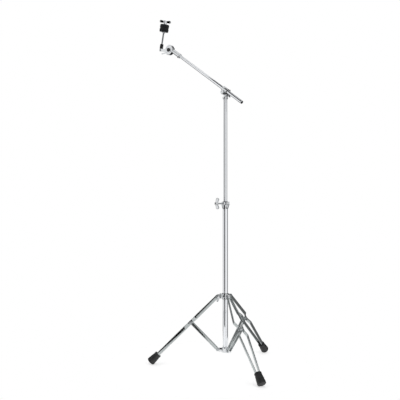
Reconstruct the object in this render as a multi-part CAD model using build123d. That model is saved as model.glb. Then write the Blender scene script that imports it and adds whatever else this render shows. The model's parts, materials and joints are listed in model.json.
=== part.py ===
from build123d import *
import os
from math import cos, radians, sin

# A cymbal boom stand, millimetres, +Z up. Everything is modelled around the mast's axis
# with the floor at Z = 0, then moved so that the origin is the middle of the footprint.

# Fits
running_gap = 0.05          # radial clearance of a pin or tube that turns or slides in a bore
side_gap = 0.3              # flat clearance between faces that move past each other

# Mast tubes
base_tube_radius = 12.7
base_tube_wall = 1.5
base_tube_length = 728.0
extension_radius = 9.525
extension_wall = 1.2
extension_length = 625.0
extension_insertion = 110.0     # how much of the extension is inside the base tube

# Tripod
leg_azimuths = (180.0, 300.0, 60.0)
leg_angle = 45.3            # between a leg and the mast
link_length = 185.5         # leg hinge to brace hinge, and the length of a brace
pivot_radius = 37.0         # mast axis to a collar's hinges
leg_bar_width = 17.0
brace_bar_width = 14.0
bar_thickness = 2.5
link_inner_gap = 12.0       # clear space between two bars at a collar lug
leg_bow_upper = 48.0        # middle to middle of the bars at the widest place above the brace
leg_bow_lower = 41.0        # the same below the brace
leg_foot_spacing = 17.0
rivet_radius = 3.0
rivet_head_radius = 5.6
rivet_head_height = 2.2
foot_length = 56.0
foot_start = 415.0          # leg hinge to the foot's upper end, along the leg
foot_top_radius = 17.5
foot_end_radius = 21.0
foot_rivet_radius = 2.5
foot_rivet_head_radius = 4.5
foot_rivet_head_height = 1.6
bar_tip_cover = 14.0        # rubber beyond the ends of the bars
sole_cut = 3.5              # how far the foot's rim is cut off by the floor

# Collars
lower_collar_radius = 17.5
lower_collar_height = 24.0
upper_collar_radius = 18.0
upper_collar_height = 25.0
lug_radius = 8.5
collar_bushing_wall = 1.45
collar_bushing_flange = 1.5
collar_pin_radius = 2.0
collar_screw_azimuth = 240.0
collar_screw_boss_radius = 7.5
collar_screw_boss_reach = 28.0
collar_screw_hub_start = 45.0
collar_screw_span = 48.0
collar_screw_turn = -32.0       # how the wings stand, about the screw's axis
wing_screw_radius = 4.0

# Height clamp
clamp_azimuth = 277.0       # the side its ears are on
clamp_height = 34.0
clamp_radius = 18.5
clamp_skirt_height = 16.0
clamp_above_tube = 5.0
clamp_bolt_clear = 7.5      # side of the clamp to the bolt's axis
clamp_ear_beyond = 7.0      # bolt's axis to the ends of the ears
clamp_ear_thickness = 8.0
clamp_slit = 3.0
clamp_bolt_hub_start = 36.0
clamp_bolt_span = 56.0
clamp_nut_radius = 9.5
clamp_nut_height = 9.0
clamp_boss_radius = 8.5
mast_bushing_depth = 25.0

# Boom head: H runs out along the boom, S across it, Z up, with the hinge at its origin
boom_azimuth = 147.0
boom_elevation = 35.0
hinge_above_extension = 22.0
boom_side = 11.0            # hinge middle to the boom's axis, across
boom_radius = 7.95
boom_wall = 1.2
boom_front = 404.0          # hinge to the boom's tip, along the boom
boom_rear = 121.0
boom_bushing_wall = 1.3
boom_holder_length = 34.0
boom_holder_wall = 3.6
ratchet_radius = 16.0
ratchet_plane = -4.0        # where the two toothed faces meet
ratchet_gap = 1.6           # between the backs of the teeth
tooth_count = 24
tooth_depth = 0.7
bracket_thickness = 13.0
bracket_sleeve_radius = 13.0
bracket_sleeve_length = 11.0
bracket_sleeve_drop = 21.0  # hinge to the top of the sleeve
boom_bolt_radius = 3.0
boom_above_bolt = 1.3       # metal between the hinge bolt's hole and the boom's bushing
boom_bolt_head_radius = 9.5
boom_nut_span = 38.0
boom_pillar_radius = 11.0   # the boss that the hinge bolt's head sits on
boom_cap_height = 5.0
socket_key = 3.4            # middle to corner of the hexagon in the bolt's head
boom_nut_turn = -50.0       # how its wings stand, about the hinge
boom_cap_length = 2.0

# Tilter
tilter_reach = 443.0        # hinge to the tilter's axis, along the boom
tilter_drop = 6.4           # the tilter's axis is this far below the boom's
tilter_radius = 26.0
tilter_half_thickness = 8.0
tilter_groove_depth = 1.8
tilter_bolt_radius = 3.0
tilter_cap_radius = 10.0    # the bolt's round black head
tilter_cap_height = 4.5
tilter_nut_turn = 40.0
tilter_nut_span = 34.0
socket_length = 56.0
socket_wall = 3.2
rod_out = 54.0              # tilter axis to the foot of the cymbal rod, outwards
rod_up = 26.6
rod_lean = 12.0
rod_radius = 4.0
rod_block_width = 18.0
rod_block_height = 24.0
rod_exposed = 60.7          # block to cup washer
cup_radius = 19.0
cup_thickness = 2.0
felt_radius = 24.0
felt_height = 19.5
sleeve_radius = 6.0
cymbal_nut_span = 62.0
cymbal_nut_turn = 20.0
washer_thickness = 1.6
washer_radius = 8.0

# Wing heads: hub radius, hub length, rise of the tips, tip radius, blade thickness
collar_screw_head = (6.5, 14.0, 2.0, 7.5, 4.0)
height_bolt_head = (7.0, 17.0, -5.0, 8.5, 4.5)      # its tips stand back towards the clamp
boom_nut_head = (6.5, 13.0, 9.0, 6.0, 4.0)
tilter_nut_head = (6.0, 12.0, 7.0, 5.5, 3.6)
cymbal_nut_head = (8.0, 20.0, 2.5, 7.0, 5.0)
cymbal_nut_root = 0.6       # its wings start this far up the hub

# Worked out from the sizes above
lean_cos = cos(radians(leg_angle))
lean_sin = sin(radians(leg_angle))
foot_end = foot_start + foot_length
upper_hinge_z = foot_end * lean_cos + foot_end_radius * lean_sin - sole_cut
lower_hinge_z = upper_hinge_z - 2 * link_length * lean_cos
base_tube_bottom = lower_hinge_z - lower_collar_height / 2 + 1.0
base_tube_top = base_tube_bottom + base_tube_length
extension_bottom = base_tube_top - extension_insertion
extension_top = extension_bottom + extension_length
hinge_z = extension_top + hinge_above_extension
bushing_radius = boom_radius + running_gap + boom_bushing_wall
holder_radius = bushing_radius + boom_holder_wall
boom_rise = bushing_radius + boom_above_bolt + boom_bolt_radius     # hinge to the boom's axis, upwards
bracket_face = ratchet_plane - ratchet_gap / 2
holder_face = ratchet_plane + ratchet_gap / 2
bracket_back = bracket_face - bracket_thickness
holder_front = boom_side + holder_radius
base_tube_bore = base_tube_radius - base_tube_wall
clamp_bolt_offset = clamp_radius + clamp_bolt_clear
clamp_ear_reach = clamp_bolt_offset + clamp_ear_beyond
link_outer = link_inner_gap / 2 + bar_thickness         # outer face of a bar at a collar
pinch_inner = link_outer + side_gap                     # inner face of a leg bar at its brace
foot_rivet_at = foot_end - bar_tip_cover - leg_bar_width / 2
BASE = (Align.CENTER, Align.CENTER, Align.MIN)

parts = {}


# ---------- shared shapes ----------

def rod(radius, length):
    """A round bar standing on the XY plane."""
    return Cylinder(radius, length, align=BASE)


def tube(outer, inner, length):
    return rod(outer, length) - rod(inner, length)


def soft_rod(radius, length, edge):
    """A round bar with both rims rounded."""
    return fillet(rod(radius, length).edges().filter_by(GeomType.CIRCLE), edge)


def along_x(start=0.0):
    """Turns a shape that stands on Z so that it lies along +X from a start."""
    return Pos(start, 0, 0) * Rot(0, 90, 0)


def along_y(start=0.0):
    return Pos(0, start, 0) * Rot(-90, 0, 0)


def pivot_rivet(half_grip, shank=rivet_radius, head=rivet_head_radius, height=rivet_head_height):
    """A rivet along Y through the origin, with a rounded head beyond each side of its grip."""
    body = along_y(-half_grip) * rod(shank, 2 * half_grip)
    dome = fillet(rod(head, height).edges().group_by(Axis.Z)[-1], height * 0.7)
    return body + along_y(half_grip) * dome + Rot(0, 0, 180) * along_y(half_grip) * dome


def wing_head(span, hub_radius, hub_length, rise, tip_radius, thickness, bore=0, root=0.45):
    """A wing nut on the XY plane: a hub up +Z, two dished wings along X from a root part way
    up the hub. A screw's head has no bore."""
    hub = rod(hub_radius, hub_length)
    hub = chamfer(hub.edges().group_by(Axis.Z)[-1], hub_radius * 0.2)
    root_at = Pos(0, hub_length * root) * Circle(hub_length * (0.85 - root) * 0.9)
    tip_at = Pos(span / 2 - tip_radius, hub_length * root + rise)
    outline = make_hull((root_at + tip_at * Circle(tip_radius)).edges())
    blade = extrude(Plane.XZ * outline, thickness / 2, both=True)
    dish = extrude(Plane.XZ * (tip_at * Circle(tip_radius * 0.62)), thickness)
    web = thickness * 0.22
    blade = blade - Pos(0, -web, 0) * dish - Pos(0, web + thickness, 0) * dish
    head = hub + blade + Rot(0, 0, 180) * blade
    return head - Pos(0, 0, -span) * rod(bore, 3 * span) if bore else head


def ratchet_disc(radius, thickness, bore):
    """A disc on the XY plane whose top face has radial V grooves."""
    disc = rod(radius, thickness)
    disc = chamfer(disc.edges().group_by(Axis.Z)[0], 1.2)
    groove = Pos(radius * 0.72, 0, thickness) * Rot(45, 0, 0) * Box(
        radius * 0.7, tooth_depth * 1.414, tooth_depth * 1.414)
    grooves = [Rot(0, 0, 360 * i / tooth_count) * groove for i in range(tooth_count)]
    return disc - grooves - rod(bore, thickness)


def lug(reach, height, root_radius, hole):
    """A collar lug along +X whose hinge hole runs along Y."""
    root = Pos(root_radius - 2, 0) * Rectangle(4, height)
    boss = Pos(reach, 0) * Circle(lug_radius)
    outline = make_hull((root + boss).edges())
    plate = extrude(Plane.XZ * outline, link_inner_gap / 2 - side_gap, both=True)
    return plate - Pos(reach, 0, 0) * along_y(-link_inner_gap) * rod(hole, 2 * link_inner_gap)


def bar(stations, width, tip, holes):
    """A flat steel bar along +X, bowed in Y along its stations and drilled along Y."""
    line = FilletPolyline(*stations, radius=14.0) if len(stations) > 2 else Line(*stations)
    strip = make_face(offset(line, bar_thickness / 2, side=Side.BOTH).edges())
    blank = extrude(strip, width / 2, both=True)
    slot = Pos((tip - width / 2) / 2, 0) * SlotOverall(tip + width / 2, width)
    blank = blank & extrude(Plane.XZ * slot, 60, both=True)
    for at, hole in holes:
        blank -= Pos(at, 0, 0) * along_y(-60) * rod(hole, 120)
    return blank


def leg_frame(azimuth):
    """Origin at the leg's upper hinge, +X down the leg, +Y along the hinge."""
    return Rot(0, 0, azimuth) * Pos(pivot_radius, 0, upper_hinge_z) * Rot(0, 90 - leg_angle, 0)


def brace_frame(azimuth):
    """Origin at the brace's lower hinge, +X up the brace, +Y along the hinge."""
    return Rot(0, 0, azimuth) * Pos(pivot_radius, 0, lower_hinge_z) * Rot(0, leg_angle - 90, 0)


# ---------- tripod ----------

def leg_stations(side):
    """Where one bar's middle line runs: parallel at the hinge, bowed, pinched, bowed, parallel."""
    top = link_inner_gap / 2 + bar_thickness / 2
    pinch = pinch_inner + bar_thickness / 2
    tip = foot_end - bar_tip_cover
    places = [
        (-leg_bar_width, top),
        (leg_bar_width * 0.7, top),
        (link_length * 0.8, leg_bow_upper / 2),
        (link_length - leg_bar_width * 0.75, pinch),
        (link_length + leg_bar_width * 0.75, pinch),
        (link_length + leg_bar_width * 2.2, leg_bow_lower / 2),
        (foot_start + 2, leg_foot_spacing / 2),
        (tip + leg_bar_width, leg_foot_spacing / 2),
    ]
    return [(along, side * out) for along, out in places]


def make_leg(number, azimuth):
    place = leg_frame(azimuth)
    tip = foot_end - bar_tip_cover
    holes = [
        (0, rivet_radius + running_gap),
        (link_length, rivet_radius),
        (foot_rivet_at, foot_rivet_radius),
    ]
    bars = {
        "a": bar(leg_stations(1), leg_bar_width, tip, holes),
        "b": bar(leg_stations(-1), leg_bar_width, tip, holes),
    }
    middle_rivet = Pos(link_length, 0, 0) * pivot_rivet(pinch_inner + bar_thickness)
    foot_rivet = Pos(foot_rivet_at, 0, 0) * pivot_rivet(
        (leg_foot_spacing + bar_thickness) / 2, foot_rivet_radius,
        foot_rivet_head_radius, foot_rivet_head_height)
    for letter, shape in bars.items():
        parts[f"leg_{number}_bar_{letter}"] = place * shape
    parts[f"leg_{number}_middle_rivet"] = place * middle_rivet
    parts[f"leg_{number}_foot_rivet"] = place * foot_rivet

    boot = Cone(foot_top_radius, foot_end_radius, foot_length, align=BASE)
    boot = fillet(boot.edges().group_by(Axis.Z)[-1], 4.0)
    boot = fillet(boot.edges().group_by(Axis.Z)[0], 3.0)
    groove = tube(foot_end_radius + 2, foot_top_radius - 0.2, 2.0)
    boot -= Pos(0, 0, foot_length * 0.16) * groove
    boot = place * along_x(foot_start) * boot
    floor = Pos(0, 0, -50) * Box(2000, 2000, 100)
    boot = boot - floor - place * bars["a"] - place * bars["b"] - place * foot_rivet
    parts[f"foot_{number}"] = boot.solids().sort_by(SortBy.VOLUME)[-1]


def make_brace(number, azimuth):
    place = brace_frame(azimuth)
    hole = rivet_radius + running_gap
    middle = link_inner_gap / 2 + bar_thickness / 2
    for letter, side in (("a", 1), ("b", -1)):
        stations = [(-brace_bar_width, side * middle),
                    (link_length + brace_bar_width, side * middle)]
        shape = bar(stations, brace_bar_width, link_length + brace_bar_width / 2,
                    [(0, hole), (link_length, hole)])
        parts[f"brace_{number}_bar_{letter}"] = place * shape
    spacer = along_y(-link_inner_gap / 2) * tube(rivet_radius + 2.5, hole, link_inner_gap)
    parts[f"brace_{number}_spacer"] = place * Pos(link_length, 0, 0) * spacer


def hinge_rivets(height):
    """The three rivets of one collar, each along its own leg's hinge."""
    grip = link_outer + side_gap
    return [Rot(0, 0, azimuth) * Pos(pivot_radius, 0, height) * pivot_rivet(grip)
            for azimuth in leg_azimuths]


def make_lower_collar():
    bottom = lower_hinge_z - lower_collar_height / 2
    ring = Pos(0, 0, bottom) * soft_rod(lower_collar_radius, lower_collar_height, 1.5)
    for azimuth in leg_azimuths:
        ring += Rot(0, 0, azimuth) * Pos(0, 0, lower_hinge_z) * lug(
            pivot_radius, lower_collar_height - 5, lower_collar_radius, rivet_radius)
    pin_z = base_tube_bottom + lower_collar_height - 7
    pin = Pos(0, 0, pin_z) * along_x(-lower_collar_radius) * rod(
        collar_pin_radius, 2 * lower_collar_radius)
    ring -= rod(base_tube_radius, 1000)
    parts["lower_collar"] = ring - pin
    parts["lower_collar_pin"] = pin
    parts["lower_hinge_rivets"] = Compound(hinge_rivets(lower_hinge_z))

    barrel = Pos(0, 0, base_tube_bottom) * tube(base_tube_radius, base_tube_bore, base_tube_length)
    parts["base_tube"] = barrel - pin
    plug = Pos(0, 0, -2) * soft_rod(base_tube_radius, 2, 0.6) + rod(base_tube_bore, 10)
    parts["base_tube_plug"] = Pos(0, 0, base_tube_bottom) * plug


def make_upper_collar():
    bottom = upper_hinge_z - upper_collar_height / 2
    liner = base_tube_radius + running_gap
    bore = liner + collar_bushing_wall
    ring = Pos(0, 0, bottom) * soft_rod(upper_collar_radius, upper_collar_height, 1.5)
    for azimuth in leg_azimuths:
        ring += Rot(0, 0, azimuth) * Pos(0, 0, upper_hinge_z) * lug(
            pivot_radius, upper_collar_height - 5, upper_collar_radius, rivet_radius)
    screw_place = Rot(0, 0, collar_screw_azimuth) * Pos(0, 0, upper_hinge_z)
    ring += screw_place * along_x(bore) * rod(collar_screw_boss_radius, collar_screw_boss_reach - bore)
    ring -= Pos(0, 0, bottom - 1) * rod(bore, upper_collar_height + 2)
    screw_hole = screw_place * along_x() * rod(wing_screw_radius + running_gap, 100)
    parts["upper_collar"] = ring - screw_hole

    flange = tube(upper_collar_radius - 1.6, liner, collar_bushing_flange)
    sleeve = tube(bore, liner, upper_collar_height)
    bushing = sleeve + Pos(0, 0, upper_collar_height) * flange + Pos(0, 0, -collar_bushing_flange) * flange
    parts["upper_collar_bushing"] = Pos(0, 0, bottom) * bushing - screw_hole
    parts["upper_hinge_rivets"] = Compound(hinge_rivets(upper_hinge_z))

    tip = liner + side_gap
    shank = along_x(tip) * rod(wing_screw_radius, collar_screw_hub_start - tip + 2)
    head = along_x(collar_screw_hub_start) * wing_head(collar_screw_span, *collar_screw_head)
    parts["collar_wing_screw"] = screw_place * Rot(collar_screw_turn, 0, 0) * (shank + head)


# ---------- mast ----------

def make_height_clamp():
    bottom = base_tube_top + clamp_above_tube - clamp_height
    top = bottom + clamp_height
    skirt = loft([
        Pos(0, 0, bottom) * Circle(base_tube_radius + 1.6),
        Pos(0, 0, bottom + clamp_skirt_height) * Circle(clamp_radius),
    ])
    barrel_height = clamp_height - clamp_skirt_height
    barrel = fillet(rod(clamp_radius, barrel_height).edges().group_by(Axis.Z)[-1], 3.0)
    shell = skirt + Pos(0, 0, bottom + clamp_skirt_height) * barrel
    bolt_z = top - barrel_height / 2
    toward = Rot(0, 0, clamp_azimuth) * Pos(0, 0, bolt_z)
    ears = toward * Pos(clamp_ear_reach / 2, 0, 0) * fillet(
        Box(clamp_ear_reach, 2 * clamp_ear_thickness + clamp_slit, barrel_height - 3).edges().filter_by(
            Axis.Y).group_by(Axis.X)[-1], 6.0)
    shell += ears
    bolt_place = toward * Pos(clamp_bolt_offset, 0, 0)
    ear_face = clamp_ear_thickness + clamp_slit / 2
    shell += bolt_place * along_y(-ear_face - 3) * rod(clamp_boss_radius, 2 * ear_face + 3)
    slit = toward * Pos(clamp_ear_reach / 2 + 6, 0, 0) * Box(
        clamp_ear_reach + 12, clamp_slit, clamp_height * 3)
    shell = shell - slit - Pos(0, 0, bottom - 1) * rod(base_tube_radius, clamp_height + 2)
    hole = bolt_place * along_y(-100) * rod(wing_screw_radius + running_gap, 200)
    parts["height_clamp"] = shell - hole

    # The round nut sits against one ear and the wing bolt enters from the other side.
    nut = along_y(ear_face) * (
        soft_rod(clamp_nut_radius, clamp_nut_height, 1.2) - rod(wing_screw_radius + running_gap, 6.0))
    parts["height_clamp_nut"] = bolt_place * nut
    reach = clamp_bolt_hub_start
    shank = Rot(0, 0, 180) * along_y(-ear_face - 5) * rod(wing_screw_radius, reach + ear_face + 7)
    head = Rot(0, 0, 180) * along_y(reach) * Rot(0, 0, 90) * wing_head(
        clamp_bolt_span, *height_bolt_head)
    parts["height_wing_bolt"] = bolt_place * (shank + head)

    sleeve = tube(base_tube_bore - running_gap, extension_radius + running_gap, mast_bushing_depth)
    flange = tube(base_tube_radius - side_gap, extension_radius + running_gap,
                  clamp_above_tube + 1.5 - side_gap)
    parts["mast_bushing"] = (Pos(0, 0, base_tube_top - mast_bushing_depth + side_gap) * sleeve
                             + Pos(0, 0, base_tube_top + side_gap) * flange)


def make_extension():
    barrel = tube(extension_radius, extension_radius - extension_wall, extension_length)
    parts["extension_tube"] = Pos(0, 0, extension_bottom) * barrel
    ring = tube(base_tube_bore - running_gap, extension_radius - extension_wall, 12.0)
    ring -= Pos(0, 0, 2) * rod(extension_radius, 12.0)
    parts["extension_guide"] = Pos(0, 0, extension_bottom - 2) * ring


# ---------- boom head ----------

def head_frame():
    """Origin on the boom hinge, +X out along the boom's heading, +Y along the hinge."""
    return Pos(0, 0, hinge_z) * Rot(0, 0, boom_azimuth)


def boom_frame():
    """The head frame, tipped up so that +X runs along the boom."""
    return head_frame() * Rot(0, -boom_elevation, 0)


def make_bracket():
    sleeve_top = -bracket_sleeve_drop
    disc = along_y(bracket_back) * ratchet_disc(
        ratchet_radius, bracket_thickness, boom_bolt_radius + running_gap)
    sleeve = Pos(0, 0, sleeve_top - bracket_sleeve_length) * rod(
        bracket_sleeve_radius, bracket_sleeve_length)
    sleeve = chamfer(sleeve.edges().group_by(Axis.Z)[0], 1.5)
    middle = (bracket_back + bracket_face) / 2
    neck = loft([
        Pos(0, 0, sleeve_top) * Circle(bracket_sleeve_radius),
        Pos(0, middle, -ratchet_radius * 0.55) * RectangleRounded(
            ratchet_radius * 1.6, bracket_thickness - 1, 2.5),
    ])
    socket = Pos(0, 0, -hinge_above_extension - 100) * rod(extension_radius, 100)
    bolt_hole = along_y(-100) * rod(boom_bolt_radius + running_gap, 200)
    swing_room = along_y(bracket_face) * rod(ratchet_radius + 6, 40)
    swing_room -= Pos(0, 0, sleeve_top - 50) * rod(60, 50)
    body = disc + sleeve + neck - socket - bolt_hole - swing_room
    parts["boom_bracket"] = head_frame() * body


def make_holder():
    place = boom_frame()
    disc = Rot(0, 0, 180) * along_y(-holder_face - 6) * ratchet_disc(
        ratchet_radius, 6.0, boom_bolt_radius)
    barrel = Pos(-boom_holder_length / 2, boom_side, boom_rise) * along_x() * soft_rod(
        holder_radius, boom_holder_length, 1.5)
    keep = along_y(holder_face) * rod(60, 80)
    pillar = along_y(holder_face) * rod(boom_pillar_radius, holder_front - holder_face)
    pillar = fillet(pillar.edges().group_by(Axis.Y)[-1], 1.5)
    body = disc + (barrel & keep) + pillar
    bore = Pos(-100, boom_side, boom_rise) * along_x() * rod(bushing_radius, 200)
    bolt_hole = along_y(-100) * rod(boom_bolt_radius, 200)
    slit = Pos(0, boom_side, boom_rise - bushing_radius - 4) * Box(boom_holder_length + 4, 1.6, 12)
    parts["boom_holder"] = place * (body - bore - bolt_hole - slit)

    bushing = tube(bushing_radius - running_gap, boom_radius + running_gap, boom_holder_length + 3)
    bushing_start = Pos(-boom_holder_length / 2 - 1.5, boom_side, boom_rise)
    parts["boom_bushing"] = place * bushing_start * along_x() * bushing

    nut_start = bracket_back - side_gap - washer_thickness
    bolt = along_y(nut_start - 14) * rod(boom_bolt_radius, holder_front - nut_start + 14)
    cap = soft_rod(boom_bolt_head_radius, boom_cap_height, 1.5)
    socket_recess = Pos(0, 0, 3.0) * extrude(RegularPolygon(socket_key, 6), 4)
    bolt += along_y(holder_front) * (cap - socket_recess)
    parts["boom_hinge_bolt"] = place * bolt
    ring = along_y(nut_start) * tube(washer_radius, boom_bolt_radius, washer_thickness)
    parts["boom_washer"] = place * ring
    nut = Rot(0, 0, 180) * along_y(side_gap - nut_start) * wing_head(
        boom_nut_span, *boom_nut_head, boom_bolt_radius + running_gap)
    parts["boom_wing_nut"] = place * Rot(0, boom_nut_turn, 0) * nut


def make_boom():
    place = boom_frame() * Pos(0, boom_side, boom_rise)
    length = boom_front + boom_rear
    parts["boom_tube"] = place * along_x(-boom_rear) * tube(boom_radius, boom_radius - boom_wall, length)
    cap = soft_rod(boom_radius, boom_cap_length, 0.8) + Pos(0, 0, 1.5) * rod(boom_radius - boom_wall, 9.0)
    parts["boom_end_cap"] = place * along_x(-boom_rear - boom_cap_length) * cap


# ---------- tilter ----------

def tilter_frame():
    """Origin on the tilter's axis, +X along the boom, +Y along the axis."""
    return boom_frame() * Pos(tilter_reach, boom_side, boom_rise - tilter_drop)


def tilter_half(bore):
    """One half of the tilter on the XY plane, toothed on top, with a round groove in its back."""
    groove = tube(tilter_radius * 0.74, tilter_radius * 0.52, tilter_groove_depth)
    return ratchet_disc(tilter_radius, tilter_half_thickness, bore) - groove


def make_socket():
    place = tilter_frame()
    bolt_bore = tilter_bolt_radius + running_gap
    half = along_y(-ratchet_gap / 2 - tilter_half_thickness) * tilter_half(bolt_bore)
    socket_radius = boom_radius + socket_wall
    start = boom_front - socket_length + 10 - tilter_reach
    barrel = Pos(start, 0, tilter_drop) * along_x() * soft_rod(socket_radius, socket_length, 1.5)
    neck_end = -tilter_radius * 0.8
    neck = loft([
        Pos(start + socket_length - 4, 0, tilter_drop) * Rot(0, 90, 0) * Circle(socket_radius - 1),
        Pos(neck_end, -(ratchet_gap + tilter_half_thickness) / 2, 0) * Rot(0, 90, 0) * RectangleRounded(
            20, tilter_half_thickness - 0.5, 2.0),
    ])
    keep_out = along_y(-ratchet_gap / 2) * rod(tilter_radius + 3, 60)
    body = half + barrel + (neck - keep_out) - along_y(-100) * rod(bolt_bore, 100)
    line = Pos(0, 0, tilter_drop) * along_x()
    bore = line * Pos(0, 0, start - 1) * rod(boom_radius, boom_front - tilter_reach - start + 1)
    screw = Pos(start + 14, 0, tilter_drop) * Rot(0, 180, 0) * rod(2.5, socket_radius + 3)
    screw -= line * Pos(0, 0, -300) * rod(boom_radius, 600)
    parts["tilter_socket"] = place * (body - bore - screw)
    parts["socket_screw"] = place * screw


def make_tilter_arm():
    place = tilter_frame() * Rot(0, boom_elevation, 0)
    inner = ratchet_gap / 2
    middle = inner + tilter_half_thickness / 2
    half = Rot(0, 0, 180) * along_y(-inner - tilter_half_thickness) * tilter_half(tilter_bolt_radius)
    seat = Pos(rod_out, middle, rod_up) * Rot(0, -rod_lean, 0)
    boss = seat * Pos(0, 0, -rod_block_height / 2 - 14) * soft_rod(9.0, 14, 1.0)
    arm_line = make_hull((
        Pos(tilter_radius * 0.5, -2) * Circle(9)
        + Pos(rod_out, rod_up - rod_block_height / 2 - 9) * Circle(6)).edges())
    arm = Pos(0, middle, 0) * extrude(Plane.XZ * arm_line, tilter_half_thickness / 2, both=True)
    prong_line = make_hull((
        Pos(tilter_radius * 0.7, -11) * Circle(3.0)
        + Pos(rod_out - 3, -13) * Circle(2.2)).edges())
    prong = Pos(0, middle, 0) * extrude(Plane.XZ * prong_line, 3.0, both=True)
    bolt_hole = along_y(-100) * rod(tilter_bolt_radius, 200)
    rod_hole = seat * Pos(0, 0, -rod_block_height / 2 - 12) * rod(rod_radius, 100)
    body = half + arm + boss + prong - bolt_hole
    parts["tilter_arm"] = place * (body - rod_hole)

    block = seat * Pos(0, 0, -rod_block_height / 2) * (
        chamfer(extrude(RegularPolygon(rod_block_width / 2, 8), rod_block_height).edges().filter_by(
            Plane.XY), 1.2) - rod(rod_radius, rod_block_height))
    parts["rod_block"] = place * block

    head_start = inner + tilter_half_thickness
    nut_start = -inner - tilter_half_thickness - side_gap - washer_thickness
    bolt = along_y(nut_start - 12) * rod(tilter_bolt_radius, head_start - nut_start + 12)
    cap = soft_rod(tilter_cap_radius, tilter_cap_height, 1.5)
    slot = Pos(0, 0, tilter_cap_height) * Box(2.4, 2 * tilter_cap_radius, 3.0)
    bolt += along_y(head_start) * (cap - slot)
    parts["tilter_bolt"] = place * bolt
    parts["tilter_washer"] = place * along_y(nut_start) * tube(
        washer_radius, tilter_bolt_radius, washer_thickness)
    nut = Rot(0, 0, 180) * along_y(side_gap - nut_start) * wing_head(
        tilter_nut_span, *tilter_nut_head, tilter_bolt_radius + running_gap)
    parts["tilter_wing_nut"] = place * Rot(0, tilter_nut_turn, 0) * nut

    # The rod and what is stacked on it.
    foot = -rod_block_height / 2 - 12
    cup_z = rod_block_height / 2 + rod_exposed
    felt_z = cup_z + cup_thickness
    nut_z = felt_z + 2 * felt_height
    top = nut_z + cymbal_nut_head[1] - 2
    stack = place * seat
    parts["cymbal_rod"] = stack * Pos(0, 0, foot) * chamfer(
        rod(rod_radius, top - foot).edges().group_by(Axis.Z)[-1], 0.8)
    sleeve = tube(sleeve_radius, rod_radius, 2 * felt_height)
    parts["cymbal_sleeve"] = stack * Pos(0, 0, felt_z) * sleeve
    dish = rod(cup_radius, cup_thickness) + Pos(0, 0, -5) * rod(sleeve_radius + 1, 5)
    parts["cup_washer"] = stack * Pos(0, 0, cup_z) * (dish - Pos(0, 0, -6) * rod(rod_radius, 10))
    pad = soft_rod(felt_radius, felt_height, 2.0) - rod(sleeve_radius, felt_height)
    parts["lower_felt"] = stack * Pos(0, 0, felt_z) * pad
    parts["upper_felt"] = stack * Pos(0, 0, felt_z + felt_height) * pad
    parts["cymbal_wing_nut"] = stack * Pos(0, 0, nut_z + side_gap) * Rot(0, 0, cymbal_nut_turn) * wing_head(
        cymbal_nut_span, *cymbal_nut_head, rod_radius + running_gap, cymbal_nut_root)


# ---------- build and write ----------

for index, azimuth in enumerate(leg_azimuths, start=1):
    make_leg(index, azimuth)
    make_brace(index, azimuth)
make_lower_collar()
make_upper_collar()
make_height_clamp()
make_extension()
make_bracket()
make_holder()
make_boom()
make_socket()
make_tilter_arm()

whole = Compound([solid for shape in parts.values() for solid in shape.solids()]).bounding_box()
footprint = whole.center()
origin_shift = (-footprint.X, -footprint.Y, -whole.min.Z)

os.makedirs("parts", exist_ok=True)
for name, shape in parts.items():
    solids = shape.solids()
    piece = solids[0] if len(solids) == 1 else Compound(solids)
    export_step(Pos(*origin_shift) * piece, f"parts/{name}.step")

print(len(parts), "nodes, size", [round(v, 1) for v in whole.size])
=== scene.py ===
# %% [markdown]
# # Cymbal boom stand
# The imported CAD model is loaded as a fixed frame: every tube, bar, casting and joint already has
# its size and place. This lesson gives it its looks. Pieces whose surface matters up close, such
# as tubes, felts, rubber feet and wing nuts, are modelled again here and stand in for their CAD
# nodes. All sizes are metres, so a millimetre has a name of its own.

# %% Load the frame
import bmesh
import bpy
import json
from math import atan2, cos, pi, radians, sin, tau
from mathutils import Matrix, Vector, noise


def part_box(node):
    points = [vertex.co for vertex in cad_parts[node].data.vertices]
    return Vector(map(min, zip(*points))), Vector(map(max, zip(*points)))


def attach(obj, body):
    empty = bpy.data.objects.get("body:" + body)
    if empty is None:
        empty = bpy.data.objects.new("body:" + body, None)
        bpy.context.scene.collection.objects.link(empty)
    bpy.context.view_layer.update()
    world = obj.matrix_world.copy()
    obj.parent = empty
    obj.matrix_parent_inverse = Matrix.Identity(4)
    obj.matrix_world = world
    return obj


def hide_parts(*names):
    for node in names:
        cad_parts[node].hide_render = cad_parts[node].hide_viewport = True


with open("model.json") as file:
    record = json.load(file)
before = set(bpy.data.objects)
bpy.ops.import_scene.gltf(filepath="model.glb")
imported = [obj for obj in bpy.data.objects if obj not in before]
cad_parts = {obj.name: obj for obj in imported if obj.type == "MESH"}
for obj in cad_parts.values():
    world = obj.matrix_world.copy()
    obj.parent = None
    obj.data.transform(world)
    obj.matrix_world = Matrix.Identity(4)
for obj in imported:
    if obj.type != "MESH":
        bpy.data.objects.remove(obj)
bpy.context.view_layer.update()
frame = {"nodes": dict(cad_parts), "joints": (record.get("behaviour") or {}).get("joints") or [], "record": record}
mm = 0.001
nodes = frame["nodes"]
joints = {joint["name"]: joint for joint in frame["joints"]}
body_of_node = {node: body for body, members in frame["record"]["behaviour"]["bodies"].items()
                for node in members}
slot_of_node = {entry["node"]: entry["material_slot"] for entry in frame["record"]["subparts"]}

# %% [markdown]
# ## Directions the stand is built on
# Materials and pieces follow a few straight lines: the mast stands on Z, and the boom slides
# along its own joint's axis. Both are read from the frame, so nothing has to be measured twice.

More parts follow.
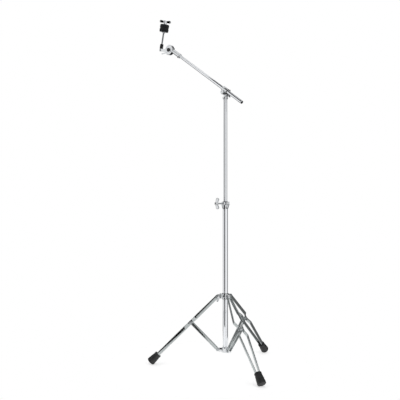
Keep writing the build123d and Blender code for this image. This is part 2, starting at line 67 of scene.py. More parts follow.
# %% The mast's and the boom's axes
low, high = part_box("base_tube")
mast_foot = Vector(((low.x + high.x) / 2, (low.y + high.y) / 2, 0))
mast_axis = Vector((0, 0, 1))
boom_axis = Vector(joints["boom_slide"]["axis"]).normalized()
boom_point = Vector(joints["boom_roll"]["pos_m"])
rod_point = Vector(joints["cymbal_nut_turn"]["pos_m"])
rod_axis = Vector(joints["cymbal_nut_turn"]["axis"]).normalized()
print("the boom rises", round(boom_axis.z, 3), "per metre of its length, the cymbal rod",
      round(rod_axis.z, 3))

# %% [markdown]
# ## Colours and nodes
# Shader sockets want linear colour, while finishes are chosen as sRGB hex, so one function turns
# one into the other. A second small function adds a node with its settings and its links, which
# keeps each material short enough to read.

# %% Helpers for materials
def linear(hex_code):
    """An sRGB hex code as a linear RGBA colour."""
    values = [int(hex_code[i:i + 2], 16) / 255 for i in (0, 2, 4)]
    return [v / 12.92 if v <= 0.04045 else ((v + 0.055) / 1.055) ** 2.4 for v in values] + [1.0]


def add(tree, kind, settings=None, **links):
    """Adds a node. Settings are its properties; links are values or other nodes' sockets."""
    node = tree.nodes.new(kind)
    for name, value in (settings or {}).items():
        setattr(node, name, value)
    for name, value in links.items():
        socket = node.inputs[name.replace("_", " ")]
        if isinstance(value, bpy.types.NodeSocket):
            tree.links.new(value, socket)
        else:
            socket.default_value = value
    return node


def new_material(name):
    """An empty material: its node tree, Principled shader and object coordinates."""
    material = bpy.data.materials.new(name)
    material.use_nodes = True
    tree = material.node_tree
    tree.nodes.clear()
    shader = add(tree, "ShaderNodeBsdfPrincipled")
    add(tree, "ShaderNodeOutputMaterial", Surface=shader.outputs["BSDF"])
    place = add(tree, "ShaderNodeTexCoord")
    return material, tree, shader, place.outputs["Object"]


print("mid grey 808080 is linear", round(linear("808080")[0], 3))

# %% [markdown]
# ## Chrome plate
# Nearly all of the stand is bright chrome: a thin, slightly blue layer on nickel over polished
# steel or cast zinc. Its colour is almost that of what it reflects, so the finish lies in how
# sharp the reflection is. Tubes are drawn through a die and keep faint lines along their length,
# about 0.6 mm apart. Castings are tumbled and keep a soft orange-peel ripple a few millimetres
# across. Both are noise, stretched along the tube or not, that moves roughness and a low bump.
# The cymbal rod is polished steel with no chrome on it and the rivets are zinc plated, so both
# are greyer and duller than the rest.

# %% Chrome and zinc
usual_ripple = {"From_Min": 0.12, "From_Max": 0.40}    # where the product of both noises lies


def plated(name, hex_code, roughness, ripple_mm, stretch, height_mm, along=mast_axis):
    """Bare or plated metal. The ripple is drawn out by stretch along one direction."""
    material, tree, shader, place = new_material(name)
    shader.inputs["Metallic"].default_value = 1.0
    shader.inputs["Base Color"].default_value = linear(hex_code)
    turn = along.rotation_difference(mast_axis).to_euler()
    turned = add(tree, "ShaderNodeMapping", Vector=place, Rotation=turn)
    where = add(tree, "ShaderNodeMapping", Vector=turned.outputs["Vector"],
                Scale=(1, 1, 1 / stretch))
    ripple = add(tree, "ShaderNodeTexNoise", Vector=where.outputs["Vector"],
                 Scale=1 / (ripple_mm * mm), Detail=3.0, Roughness=0.55)
    handled = add(tree, "ShaderNodeTexNoise", Vector=place, Scale=18.0, Detail=4.0, Roughness=0.6)
    both = add(tree, "ShaderNodeMath", {"operation": "MULTIPLY"})
    tree.links.new(ripple.outputs["Fac"], both.inputs[0])
    tree.links.new(handled.outputs["Fac"], both.inputs[1])
    gloss = add(tree, "ShaderNodeMapRange", Value=both.outputs["Value"],
                To_Min=roughness * 0.6, To_Max=roughness * 1.7, **usual_ripple)
    tree.links.new(gloss.outputs["Result"], shader.inputs["Roughness"])
    bump = add(tree, "ShaderNodeBump", Height=ripple.outputs["Fac"], Strength=0.25,
               Distance=height_mm * mm)
    tree.links.new(bump.outputs["Normal"], shader.inputs["Normal"])
    return material


mast_chrome = plated("chrome_on_drawn_mast_tube", "E9EBEE", 0.06, 0.6, 60, 0.01)
boom_chrome = plated("chrome_on_drawn_boom_tube", "E9EBEE", 0.06, 0.6, 60, 0.01, boom_axis)
bar_chrome = plated("chrome_on_rolled_flat_bar", "B4B9B9", 0.15, 1.2, 1, 0.02)
cast_chrome = plated("chrome_on_die_cast_zinc", "D8DADC", 0.07, 3.0, 1, 0.05)
rod_steel = plated("polished_steel_rod", "85898B", 0.22, 0.5, 20, 0.01)
zinc = plated("zinc_plate_on_steel_rivets", "C3C6C9", 0.28, 0.8, 1, 0.03)
print("chrome, steel and zinc: 6 finishes")

# %% [markdown]
# ## Black oxide, nylon and rubber
# The tilter's bolt is black-oxide steel, dull and a little oily. The bushings and the rod block
# are injection-moulded nylon with a fine spark-eroded texture, about 0.4 mm from grain to grain.
# The feet are moulded rubber: a coarser, duller skin, greyed where dust and bloom sit in it.

# %% Dark solids
def moulded(name, hex_code, worn_code, roughness, grain_mm, height_mm):
    """A dark moulded solid: grain in its bump, and a paler bloom in its colour."""
    material, tree, shader, place = new_material(name)
    grain = add(tree, "ShaderNodeTexNoise", Vector=place, Scale=1 / (grain_mm * mm), Detail=2.0)
    bloom = add(tree, "ShaderNodeTexNoise", Vector=place, Scale=60.0, Detail=5.0, Roughness=0.65)
    spread = add(tree, "ShaderNodeMapRange", Value=bloom.outputs["Fac"],
                 From_Min=0.42, From_Max=0.72, To_Min=0.0, To_Max=1.0)
    colour = add(tree, "ShaderNodeMix", {"data_type": "RGBA"})
    tree.links.new(spread.outputs["Result"], colour.inputs["Factor"])
    colour.inputs["A"].default_value = linear(hex_code)
    colour.inputs["B"].default_value = linear(worn_code)
    tree.links.new(colour.outputs["Result"], shader.inputs["Base Color"])
    gloss = add(tree, "ShaderNodeMapRange", Value=grain.outputs["Fac"],
                From_Min=0.3, From_Max=0.7, To_Min=roughness * 0.8, To_Max=roughness * 1.2)
    tree.links.new(gloss.outputs["Result"], shader.inputs["Roughness"])
    bump = add(tree, "ShaderNodeBump", Height=grain.outputs["Fac"], Strength=0.5,
               Distance=height_mm * mm)
    tree.links.new(bump.outputs["Normal"], shader.inputs["Normal"])
    return material


rubber = moulded("moulded_rubber", "141516", "2A2C2E", 0.52, 0.9, 0.06)
nylon = moulded("moulded_black_nylon", "101112", "1B1C1D", 0.36, 0.4, 0.03)
white_nylon = moulded("natural_nylon_tube", "D9D7CF", "E2E0DA", 0.40, 0.5, 0.02)
black_oxide = moulded("black_oxide_on_steel", "0C0C0D", "17181A", 0.30, 0.5, 0.02)
print("dark solids: 4 finishes")

# %% [markdown]
# ## Pressed wool felt
# Felt is matted wool pressed into a slab and punched out, so its sides show the layers' edges and
# its whole surface a fuzz of fibres that catches light at a slant. Fibres are about 0.03 mm thick,
# far too fine to see here, so they are drawn about ten times as coarse: one noise drawn out along
# the rod for the streaks on the side, and one even noise for the fuzz. Sheen does the rim light.

# %% Felt
def pressed_felt(name, hex_code, streak_code, along):
    material, tree, shader, place = new_material(name)
    turn = along.rotation_difference(mast_axis).to_euler()
    turned = add(tree, "ShaderNodeMapping", Vector=place, Rotation=turn)
    where = add(tree, "ShaderNodeMapping", Vector=turned.outputs["Vector"], Scale=(1, 1, 0.12))
    streaks = add(tree, "ShaderNodeTexNoise", Vector=where.outputs["Vector"],
                  Scale=1 / (1.6 * mm), Detail=4.0, Roughness=0.7)
    fuzz = add(tree, "ShaderNodeTexNoise", Vector=place, Scale=1 / (0.35 * mm), Detail=3.0)
    spread = add(tree, "ShaderNodeMapRange", Value=streaks.outputs["Fac"],
                 From_Min=0.40, From_Max=0.66, To_Min=0.0, To_Max=1.0)
    colour = add(tree, "ShaderNodeMix", {"data_type": "RGBA"})
    tree.links.new(spread.outputs["Result"], colour.inputs["Factor"])
    colour.inputs["A"].default_value = linear(hex_code)
    colour.inputs["B"].default_value = linear(streak_code)
    tree.links.new(colour.outputs["Result"], shader.inputs["Base Color"])
    shader.inputs["Roughness"].default_value = 0.95
    shader.inputs["Sheen Weight"].default_value = 0.25
    shader.inputs["Sheen Roughness"].default_value = 0.5
    bump = add(tree, "ShaderNodeBump", Height=fuzz.outputs["Fac"], Strength=0.8, Distance=0.15 * mm)
    tree.links.new(bump.outputs["Normal"], shader.inputs["Normal"])
    return material


felt = pressed_felt("pressed_black_wool_felt", "0D0E10", "24272B", rod_axis)

finish_of_slot = {
    "chromed_tube": mast_chrome, "chromed_bar": bar_chrome, "chromed_casting": cast_chrome,
    "zinc_steel": zinc, "black_steel": black_oxide, "foot_rubber": rubber, "felt": felt,
    "black_nylon": nylon, "white_nylon": white_nylon,
}
for name, node in nodes.items():
    node.data.materials.clear()
    node.data.materials.append(finish_of_slot[slot_of_node[name]])
print("finishes on", len(nodes), "CAD nodes")

# %% [markdown]
# ## Working around an axis
# Tubes, felts, feet and rods are all round, so one outline spun about a line makes each of them.
# The line and the lengths come from the CAD node that the piece stands in for: its vertices are
# measured along the line and away from it. A piece is built standing on Z and then laid along its
# line, with its place in its mesh, so that its object stays at the origin.

# %% Measuring and placing
def middle(node):
    low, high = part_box(node)
    return (low + high) / 2


def measure(node, point, axis):
    """How far a node starts and ends along an axis, its radius, and its farthest side direction."""
    start, end, radius, side = 1e9, -1e9, 0.0, Vector()
    for vertex in nodes[node].data.vertices:
        along = (vertex.co - point).dot(axis)
        out = vertex.co - point - axis * along
        start, end = min(start, along), max(end, along)
        if out.length > radius:
            radius, side = out.length, out.normalized()
    return start, end, radius, side


def stand_on(point, axis, side=None):
    """A matrix that lays +Z along the axis and, if a side is given, +X along that side."""
    if side is None:
        return Matrix.Translation(point) @ mast_axis.rotation_difference(axis).to_matrix().to_4x4()
    across = axis.cross(side)
    turn = Matrix((side, across, axis)).transposed().to_4x4()
    return Matrix.Translation(point) @ turn


def spun(outline, closed=False, steps=96):
    """Spins an outline of (radius, height) points about Z into a skin with no seam."""
    shape = bmesh.new()
    verts = [shape.verts.new((radius, 0, height)) for radius, height in outline]
    pairs = list(zip(verts, verts[1:])) + ([(verts[-1], verts[0])] if closed else [])
    edges = [shape.edges.new(pair) for pair in pairs]
    bmesh.ops.spin(shape, geom=verts + edges, cent=(0, 0, 0), axis=(0, 0, 1), angle=tau,
                   steps=steps, use_merge=True)
    bmesh.ops.remove_doubles(shape, verts=shape.verts, dist=0.0001 * mm)
    bmesh.ops.recalc_face_normals(shape, faces=shape.faces)
    return shape


def soften(shape, width, segments=3, sharper_than=40.0):
    """Rounds every edge whose faces meet at more than an angle in degrees."""
    edges = [edge for edge in shape.edges
             if len(edge.link_faces) == 2 and edge.calc_face_angle() > radians(sharper_than)]
    bmesh.ops.bevel(shape, geom=edges, offset=width, segments=segments, profile=0.5,
                    affect="EDGES", clamp_overlap=True, material=-1)
    return shape


def finish_piece(node, shape, material=None):
    """Makes a shape the piece that stands in for a CAD node, on that node's body."""
    mesh = bpy.data.meshes.new(node + "_detailed")
    shape.to_mesh(mesh)
    shape.free()
    for polygon in mesh.polygons:
        polygon.use_smooth = True
    mesh.set_sharp_from_angle(angle=radians(38))
    mesh.materials.append(material or finish_of_slot[slot_of_node[node]])
    piece = bpy.data.objects.new(mesh.name, mesh)
    bpy.context.scene.collection.objects.link(piece)
    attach(piece, body_of_node[node])
    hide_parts(node)
    return piece


print("the base tube starts, ends and reaches", measure("base_tube", mast_foot, mast_axis)[:3])

# %% [markdown]
# ## Tubes
# A drawn tube is cut to length and its ends are deburred, so both rims of each end are slightly
# round. The outline is a closed loop round the wall, and a bevel takes the four corners off. With
# 128 steps round, the straight dark lines that chrome shows along a tube stay straight.

# %% The three chromed tubes
tube_walls = {"base_tube": 1.5 * mm, "extension_tube": 1.2 * mm, "boom_tube": 1.2 * mm}
for node, wall in tube_walls.items():
    on_boom = node == "boom_tube"
    point, axis = (boom_point, boom_axis) if on_boom else (mast_foot, mast_axis)
    start, end, radius, _ = measure(node, point, axis)
    shape = spun([(radius, start), (radius, end), (radius - wall, end), (radius - wall, start)],
                 closed=True, steps=128)
    soften(shape, 0.45 * mm)
    shape.transform(stand_on(point, axis))
    finish_piece(node, shape, boom_chrome if on_boom else mast_chrome)
    print(node, "radius", round(radius / mm, 2), "mm, length", round((end - start) / mm, 1), "mm")

# %% [markdown]
# ## Flat bars and castings
# Bars are sheared and tumbled before plating, and castings leave a die with rounded corners, so
# none of them has a knife edge, and the rounded edge is what catches a bright line in chrome. The
# CAD shapes are right but for that. So each is copied, its loose triangles are merged and its flat
# faces joined, and its sharp edges are bevelled.

# %% Rounded copies of bars and castings
edge_round = {
    "chromed_bar": 0.55 * mm, "chromed_casting": 0.7 * mm, "black_nylon": 0.5 * mm,
    "black_steel": 0.5 * mm,
}
cast_nodes = ["lower_collar", "upper_collar", "height_clamp", "height_clamp_nut", "boom_bracket",
              "boom_holder", "tilter_socket", "tilter_arm", "rod_block", "tilter_bolt"]
bar_nodes = [name for name in nodes if slot_of_node[name] == "chromed_bar"]
for node in bar_nodes + cast_nodes:
    shape = bmesh.new()
    shape.from_mesh(nodes[node].data)
    bmesh.ops.remove_doubles(shape, verts=shape.verts, dist=0.002 * mm)
    bmesh.ops.dissolve_limit(shape, angle_limit=radians(0.5), verts=shape.verts, edges=shape.edges)
    soften(shape, edge_round[slot_of_node[node]], segments=2)
    finish_piece(node, shape)
print("rounded", len(bar_nodes), "bars and", len(cast_nodes), "castings")

# %% [markdown]
# ## Rubber feet
# A foot is a moulded boot pushed over the ends of a leg's two bars: a thick lip at its mouth, a
# relief groove below it, a body that swells towards the floor and three grip rings. The outline is
# spun about the leg's line, which runs through the leg's two rivets. The sole is not square to the
# leg but flat on the floor, so the spun shape is cut there and closed.

# %% Feet
foot_outline = [
    (0.0, 0.0), (0.62, 0.0), (0.70, 0.012), (0.80, 0.012), (0.83, 0.05), (0.83, 0.13), (0.80, 0.16),
    (0.775, 0.175), (0.775, 0.205), (0.81, 0.22), (0.855, 0.34), (0.90, 0.50), (0.935, 0.62),
    (0.915, 0.635), (0.92, 0.665), (0.945, 0.68), (0.962, 0.74), (0.942, 0.755), (0.947, 0.785),
    (0.972, 0.80), (0.988, 0.86), (0.968, 0.875), (0.97, 0.90), (0.985, 0.915), (0.965, 0.96),
    (0.90, 0.99), (0.84, 1.0), (0.0, 1.0),
]
sole_height = 0.01 * mm
for number in (1, 2, 3):
    node = f"foot_{number}"
    ankle = middle(f"leg_{number}_foot_rivet")
    leg_line = (ankle - middle(f"leg_{number}_middle_rivet")).normalized()
    start, end, radius, _ = measure(node, ankle, leg_line)
    outline = [(out * radius, start + share * (end - start)) for out, share in foot_outline]
    shape = spun(outline, steps=72)
    soften(shape, 0.5 * mm, segments=2, sharper_than=25.0)
    shape.transform(stand_on(ankle, leg_line))
    bmesh.ops.bisect_plane(shape, geom=shape.verts[:] + shape.edges[:] + shape.faces[:],
                           plane_co=(0, 0, sole_height), plane_no=(0, 0, -1), clear_outer=True)
    rim = [edge for edge in shape.edges if edge.is_boundary]
    bmesh.ops.edgeloop_fill(shape, edges=rim)
    bmesh.ops.recalc_face_normals(shape, faces=shape.faces)
    finish_piece(node, shape)
    print(node, "is", round((end - start) / mm, 1), "mm long and", round(2 * radius / mm, 1),
          "mm across")

# %% [markdown]
# ## Felts
# Each felt is a thick washer. Punching drags its rims round, and the wing nut squeezes it so that
# its side bulges a little. The spun skin is fine enough to be moved by noise, a third of a
# millimetre at most, which breaks up the outline the way matted wool does.

# %% The two cymbal felts
felt_bore = 6.1 * mm
fuzz_depth = 0.35 * mm
clumps, fibres = 900, 2400        # noise cells to a metre: 1.1 mm and 0.4 mm across
rim_turn = 1.6 * mm               # how far the side curves in by the rims
face_sink = 0.2 * mm              # room for the fuzz on both faces
bore_sink = 0.3 * mm
side_rings = 14
face_rings = [0.90, 0.78, 0.64, 0.50, 0.38]
for node in ("lower_felt", "upper_felt"):
    start, end, radius, _ = measure(node, rod_point, rod_axis)
    height = end - start
    wall = radius - fuzz_depth
    side = [(wall - rim_turn * abs(2 * i / side_rings - 1) ** 4,
             start + height * (0.03 + 0.94 * i / side_rings)) for i in range(side_rings + 1)]
    top = [(wall * share, end - face_sink) for share in face_rings]
    bottom = [(wall * share, start + face_sink) for share in reversed(face_rings)]
    outline = ([(felt_bore, start + bore_sink)] + bottom + side + top
               + [(felt_bore, end - bore_sink)])
    shape = spun(outline, closed=True, steps=160)
    for vertex in shape.verts:
        radial = Vector((vertex.co.x, vertex.co.y, 0))
        if radial.length > felt_bore * 1.2:
            rough = noise.noise(vertex.co * clumps) * 0.6 + noise.noise(vertex.co * fibres) * 0.4
            vertex.co += radial.normalized() * rough * fuzz_depth
    shape.transform(stand_on(rod_point, rod_axis))
    finish_piece(node, shape)
    print(node, round(2 * radius / mm, 1), "mm across,", round(height / mm, 1), "mm thick")

# %% [markdown]
# ## Threads
# The cymbal rod and the wing bolts are threaded M8, one turn in 1.25 mm. A thread is a small V
# that climbs as it turns, and the spin operator can do both at once: it takes an angle of many
# turns and a step along the axis. Each turn's end meets the next turn's start, so merging close
# points makes one skin, and the two open ends are filled.

# %% A threaded rod
thread_pitch = 1.25 * mm
thread_depth = 0.62 * mm
# up by a share of the pitch, and in by a share of the depth
thread_outline = [(0.0, 1.0), (0.06, 1.0), (0.5, 0.0), (0.56, 0.0), (1.0, 1.0)]


def threaded(radius, length, steps=24):
    """A threaded rod standing on Z."""
    turns = max(2, int(length / thread_pitch) - 1)
    shape = bmesh.new()
    verts = [shape.verts.new((radius - thread_depth * depth, 0, thread_pitch * height))
             for height, depth in thread_outline]
    edges = [shape.edges.new(pair) for pair in zip(verts, verts[1:])]
    bmesh.ops.spin(shape, geom=verts + edges, cent=(0, 0, 0), axis=(0, 0, 1), angle=tau * turns,
                   dvec=(0, 0, thread_pitch / steps), steps=steps * turns)
    bmesh.ops.remove_doubles(shape, verts=shape.verts, dist=0.01 * mm)
    bmesh.ops.holes_fill(shape, edges=[edge for edge in shape.edges if edge.is_boundary])
    bmesh.ops.recalc_face_normals(shape, faces=shape.faces)
    return shape


def joined(*shapes):
    """Puts several bmesh shapes into the first one."""
    for extra in shapes[1:]:
        carrier = bpy.data.meshes.new("carrier")
        extra.to_mesh(carrier)
        extra.free()
        shapes[0].from_mesh(carrier)
        bpy.data.meshes.remove(carrier)
    return shapes[0]


start, end, radius, _ = measure("cymbal_rod", rod_point, rod_axis)
cup_start = measure("cup_washer", rod_point, rod_axis)[0]
thread_start = cup_start - 6 * mm     # a little thread shows under the cup
sunk = 0.5 * mm                       # the thread starts this far inside the smooth part
nose = 0.8 * mm
smooth_part = spun([(0, start), (radius, start), (radius, thread_start), (0, thread_start)])
soften(smooth_part, 0.5 * mm)
screw_part = threaded(radius, end - thread_start - 1.5 * mm)
screw_part.transform(Matrix.Translation((0, 0, thread_start - sunk)))
core = radius - thread_depth
tip_part = spun([(0, thread_start), (core, thread_start), (core, end - nose),
                 (core - nose, end), (0, end)])
rod_shape = joined(smooth_part, screw_part, tip_part)
rod_shape.transform(stand_on(rod_point, rod_axis))
finish_piece("cymbal_rod", rod_shape, rod_steel)
print("cymbal rod", round((end - start) / mm, 1), "mm long, threaded above",
      round(thread_start / mm, 1))

# %% [markdown]
# ## Cup washer
# The cup washer carries the lower felt: a pressed steel dish with a rolled rim and a short neck
# that keeps it upright on the rod.

# %% Cup washer
start, end, radius, _ = measure("cup_washer", rod_point, rod_axis)
neck, bore = 7.0 * mm, 4.05 * mm
dish_start = end - 2.0 * mm
dish_floor = end - 0.6 * mm
shape = spun([(bore, start), (neck, start), (neck, dish_start - 0.6 * mm),
              (neck + 1.5 * mm, dish_start), (radius - 1.5 * mm, dish_start),
              (radius, dish_start + 0.7 * mm), (radius, end), (radius - 1.2 * mm, end - 0.1 * mm),
              (radius - 2.2 * mm, dish_floor), (neck, dish_floor), (bore, dish_floor)], closed=True)
soften(shape, 0.3 * mm, segments=2)
shape.transform(stand_on(rod_point, rod_axis))
finish_piece("cup_washer", shape)
print("cup washer", round(2 * radius / mm, 1), "mm across")

# %% [markdown]
# ## Wing nuts and wing screws
# Five castings tighten the stand by hand. Each is a hub with two thumb wings, and a wing is the
# outline round a small circle at the hub and a larger one at the tip, dished on both sides. A
# convex hull of two discs gives that outline at once. The hub and both wings are then one casting
# with soft inner corners: a voxel remesh melts the three shells into one skin, and a few rounds of
# smoothing take its steps off.

# %% One wing head
hub_shoulder, hub_end = 0.72, 0.8           # a hub narrows above this share, to this share
root_limit, root_fill = 0.85, 0.9           # a wing's root ends below this share of the hub
dish_lip, dish_wall = 0.30, 0.12            # widths as shares of the tip's radius
dish_depth = 0.24                           # share of the blade's thickness, from each side


def wing_blade(half_span, hub_length, root, rise, tip_radius, thickness):
    """One dished wing along +X from the hub's axis."""
    blade = bmesh.new()
    root_height = hub_length * root
    root_radius = hub_length * (root_limit - root) * root_fill
    for reach, height, radius in ((0, root_height, root_radius),
                                  (half_span - tip_radius, root_height + rise, tip_radius)):
        place = Matrix.Translation((reach, 0, height)) @ Matrix.Rotation(pi / 2, 4, "X")
        bmesh.ops.create_cone(blade, cap_ends=True, segments=40, radius1=radius, radius2=radius,
                              depth=thickness, matrix=place)
    hull = bmesh.ops.convex_hull(blade, input=blade.verts)
    # The operator leaves what the hull has swallowed, so that is deleted.
    unused = [item for item in hull["geom_interior"] + hull["geom_unused"] + hull["geom_holes"]
              if item.is_valid]
    bmesh.ops.delete(blade, geom=[item for item in unused if isinstance(item, bmesh.types.BMVert)],
                     context="VERTS")
    bmesh.ops.delete(blade, geom=[item for item in hull["geom_holes"] if item.is_valid
                                  and isinstance(item, bmesh.types.BMFace)], context="FACES_ONLY")
    bmesh.ops.dissolve_limit(blade, angle_limit=radians(2), verts=blade.verts, edges=blade.edges)
    sides = [face for face in blade.faces if abs(face.normal.y) > 0.9]
    bmesh.ops.recalc_face_normals(blade, faces=blade.faces)
    bmesh.ops.inset_individual(blade, faces=sides, thickness=tip_radius * dish_lip, depth=0)
    bmesh.ops.inset_individual(blade, faces=sides, thickness=tip_radius * dish_wall,
                               depth=-thickness * dish_depth)
    return blade


def wing_head(span, hub_radius, hub_length, root, rise, tip_radius, thickness):
    """A hub standing on the XY plane with two wings along X, fused into one casting."""
    hub = spun([(0, 0), (hub_radius, 0), (hub_radius, hub_length * hub_shoulder),
                (hub_radius * hub_end, hub_length), (0, hub_length)], steps=64)
    wings = []
    for turn in (0, pi):
        wing = wing_blade(span / 2, hub_length, root, rise, tip_radius, thickness)
        wing.transform(Matrix.Rotation(turn, 4, "Z"))
        wings.append(wing)
    rough = bpy.data.meshes.new("rough_casting")
    casting = joined(hub, *wings)
    casting.to_mesh(rough)
    casting.free()
    mould = bpy.data.objects.new("rough_casting", rough)
    bpy.context.scene.collection.objects.link(mould)
    melt = mould.modifiers.new("melt", "REMESH")
    melt.mode = "VOXEL"
    melt.voxel_size = 0.5 * mm
    calm = mould.modifiers.new("calm", "SMOOTH")
    calm.factor = 0.5
    calm.iterations = 6
    melted = mould.evaluated_get(bpy.context.evaluated_depsgraph_get())
    done = bpy.data.meshes.new_from_object(melted)
    casting = bmesh.new()
    casting.from_mesh(done)
    bpy.data.objects.remove(mould)
    bpy.data.meshes.remove(rough)
    bpy.data.meshes.remove(done)
    return casting


print("a wing head is a hub and two wings, melted together")

# %% [markdown]
# ## Placing the wing heads
# Where each wing head goes is read from its joint: the joint's axis is the screw's line. The
# direction of its wings is that of the CAD vertex farthest from that line. A screw's shank runs
# from its tip, the CAD node's start, up into the hub.

# %% The five wing heads
# joint, then in millimetres: hub radius and length, where the wings start as a share of the hub,
# rise of the tips, tip radius, blade thickness and shank radius
wing_heads = {
    "cymbal_wing_nut": ("cymbal_nut_turn", 8.0, 20.0, 0.60, 2.5, 7.0, 5.0, 0.0),
    "boom_wing_nut": ("boom_nut_turn", 6.5, 13.0, 0.45, 9.0, 6.0, 4.0, 0.0),
    "tilter_wing_nut": ("tilter_nut_turn", 6.0, 12.0, 0.45, 7.0, 5.5, 3.6, 0.0),
    "height_wing_bolt": ("height_bolt_turn", 7.0, 17.0, 0.45, -5.0, 8.5, 4.5, 4.0),
    "collar_wing_screw": ("collar_screw_turn", 6.5, 14.0, 0.45, 2.0, 7.5, 4.0, 4.0),
}
tip_room = 0.3 * mm      # smoothing may not push a wing past its CAD node
into_hub = 3 * mm        # how far a thread runs up into its hub
for node, (joint, hub, length, root, rise, tip, thickness, shank) in wing_heads.items():
    point = Vector(joints[joint]["pos_m"])
    axis = Vector(joints[joint]["axis"]).normalized()
    if (middle(node) - point).dot(axis) < 0:
        axis = -axis
    start, end, reach, side = measure(node, point, axis)
    head_height = max(length, length * root + rise + tip) * mm
    hub_start = end - head_height
    head = wing_head(2 * reach - tip_room, hub * mm, length * mm, root, rise * mm, tip * mm,
                     thickness * mm)
    head.transform(Matrix.Translation((0, 0, hub_start)))
    if shank:
        core = shank * mm - thread_depth
        screw = threaded(shank * mm, hub_start + into_hub - start)
        screw.transform(Matrix.Translation((0, 0, start)))
        inner_end = hub_start + 2 * mm
        inner = spun([(0, start), (core, start), (core, inner_end), (0, inner_end)])
        head = joined(head, screw, inner)
    head.transform(stand_on(point, axis, side))
    piece = finish_piece(node, head)
    print(node, "spans", round(2 * reach / mm, 1), "mm,", len(piece.data.polygons), "faces")

# %% [markdown]
# ## Camera
# The stand is seen from about three metres in front and 0.8 m above the floor, through a lens a
# little longer than normal, held level so that the mast stays upright. The camera is placed from
# the mast, so it keeps its aim if the model's origin moves.

# %% Camera
view_azimuth = radians(6.97)
camera_distance, camera_height, camera_left = 3.104, 0.812, 0.1238
right = Vector((cos(view_azimuth), sin(view_azimuth), 0))
forward = Vector((-sin(view_azimuth), cos(view_azimuth), 0))
camera_data = bpy.data.cameras.new("camera")
camera = bpy.data.objects.new("camera", camera_data)
bpy.context.scene.collection.objects.link(camera)
camera.location = (mast_foot - forward * camera_distance - right * camera_left
                   + mast_axis * camera_height)
camera.rotation_euler = (radians(90), 0, view_azimuth)
camera_data.lens = 57.24
camera_data.sensor_width = 36.0
bpy.context.scene.camera = camera
print("camera at", [round(value, 3) for value in camera.location])

# %% [markdown]
# ## Floor and studio light
# Chrome looks like what is round it. In an all-white room it would vanish, so product studios hang
# black and grey flags outside the picture, and those make the dark lines along a tube. Here the
# room is the world shader. By heading it is white with three upright flags. By elevation it has a
# grey ring overhead, where lamps leave a gap, and a dark zone below, past the edge of the pale
# floor, and both put lines on the castings and under the boom. The camera looks at plain white.
# The floor is a sheet of acrylic lit from below, as on a product table. It glows just enough to be
# as white as the backdrop, so its edge is hardly seen, and the feet still leave soft shadows on it.

# %% Floor
floor_radius = 0.5
floor_shape = bmesh.new()
bmesh.ops.create_circle(floor_shape, cap_ends=True, segments=128, radius=floor_radius)
floor_mesh = bpy.data.meshes.new("floor")
floor_shape.to_mesh(floor_mesh)
floor_shape.free()
floor = bpy.data.objects.new("floor", floor_mesh)
bpy.context.scene.collection.objects.link(floor)
floor_material, floor_tree, floor_shader, _ = new_material("lit_white_acrylic")
floor_shader.inputs["Base Color"].default_value = linear("FAFAFA")
floor_shader.inputs["Roughness"].default_value = 0.9
floor_shader.inputs["Emission Color"].default_value = linear("FFFFFF")
floor_shader.inputs["Emission Strength"].default_value = 0.55
floor_mesh.materials.append(floor_material)
print("floor", 2 * floor_radius, "m across")

# %% The room, by heading
# each flag: its middle from straight behind the camera, half width, softness in degrees; shade
flags = [(-32, 19, 6, 0.0), (-129, 17, 8, 0.25), (116, 28, 8, 0.20)]
behind_camera = atan2(-forward.y, -forward.x)
world = bpy.data.worlds.new("studio")
bpy.context.scene.world = world
world.use_nodes = True
tree = world.node_tree
tree.nodes.clear()
direction = add(tree, "ShaderNodeTexCoord").outputs["Generated"]
parts = add(tree, "ShaderNodeSeparateXYZ", Vector=direction)
flat = add(tree, "ShaderNodeCombineXYZ", X=parts.outputs["X"], Y=parts.outputs["Y"])
heading = add(tree, "ShaderNodeVectorMath", {"operation": "NORMALIZE"})
tree.links.new(flat.outputs["Vector"], heading.inputs[0])


def towards(angle):
    """How nearly the heading points at an angle: 1 straight at it, 0 square to it."""
    aim = add(tree, "ShaderNodeVectorMath", {"operation": "DOT_PRODUCT"})
    tree.links.new(heading.outputs["Vector"], aim.inputs[0])
    aim.inputs[1].default_value = (cos(angle), sin(angle), 0)
    return aim.outputs["Value"]


def times(first, second):
    product = add(tree, "ShaderNodeMath", {"operation": "MULTIPLY"})
    tree.links.new(first, product.inputs[0])
    tree.links.new(second, product.inputs[1])
    return product.outputs["Value"]


smooth = {"interpolation_type": "SMOOTHSTEP"}
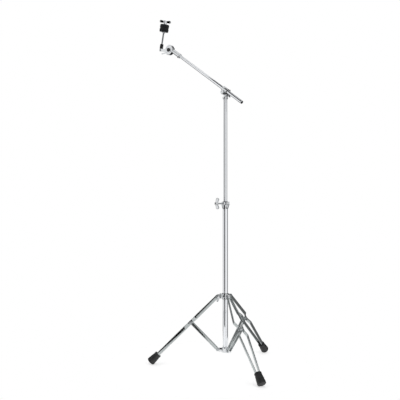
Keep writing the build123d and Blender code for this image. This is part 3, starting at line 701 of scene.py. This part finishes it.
# degrees above the horizon, and how bright the room is there
elevations = [(-90, 0.05), (-30, 0.05), (-24, 1.0), (34, 1.0), (39, 0.15), (48, 0.15), (53, 1.0)]
height = add(tree, "ShaderNodeMapRange", Value=parts.outputs["Z"], From_Min=-1.0, From_Max=1.0)
ramp = add(tree, "ShaderNodeValToRGB", Fac=height.outputs["Result"])
while len(ramp.color_ramp.elements) < len(elevations):
    ramp.color_ramp.elements.new(0.5)
for stop, (degrees, shade) in zip(ramp.color_ramp.elements, elevations):
    stop.position = (sin(radians(degrees)) + 1) / 2
    stop.color = (shade, shade, shade, 1)
brightness = ramp.outputs["Color"]
for turn, half_width, softness, shade in flags:
    flag = add(tree, "ShaderNodeMapRange", smooth, Value=towards(behind_camera + radians(turn)),
               From_Min=cos(radians(half_width + softness)), From_Max=cos(radians(half_width)),
               To_Min=1.0, To_Max=shade)
    brightness = times(brightness, flag.outputs["Result"])
print(len(flags), "flags and", len(elevations), "stops of elevation")

# %% The room, behind the stand and to the eye
# A dark ground behind the stand is what the boom's lower edge mirrors.
far_side = add(tree, "ShaderNodeMapRange", smooth, Value=towards(behind_camera + pi),
               From_Min=0.5, From_Max=0.8)
under = add(tree, "ShaderNodeMapRange", smooth, Value=parts.outputs["Z"], From_Min=-0.16,
            From_Max=-0.24)
low_and_far = times(far_side.outputs["Result"], under.outputs["Result"])
ground = add(tree, "ShaderNodeMapRange", Value=low_and_far, To_Min=1.0, To_Max=0.05)
room_light = 1.0
room = add(tree, "ShaderNodeBackground", Color=times(brightness, ground.outputs["Result"]),
           Strength=room_light)
backdrop = add(tree, "ShaderNodeBackground", Color=linear("FFFFFF"), Strength=1.0)
eye = add(tree, "ShaderNodeLightPath").outputs["Is Camera Ray"]
seen = add(tree, "ShaderNodeMixShader", Fac=eye)
tree.links.new(room.outputs["Background"], seen.inputs[1])
tree.links.new(backdrop.outputs["Background"], seen.inputs[2])
add(tree, "ShaderNodeOutputWorld", Surface=seen.outputs["Shader"])
bpy.context.scene.view_settings.view_transform = "Standard"
print("room light", room_light)
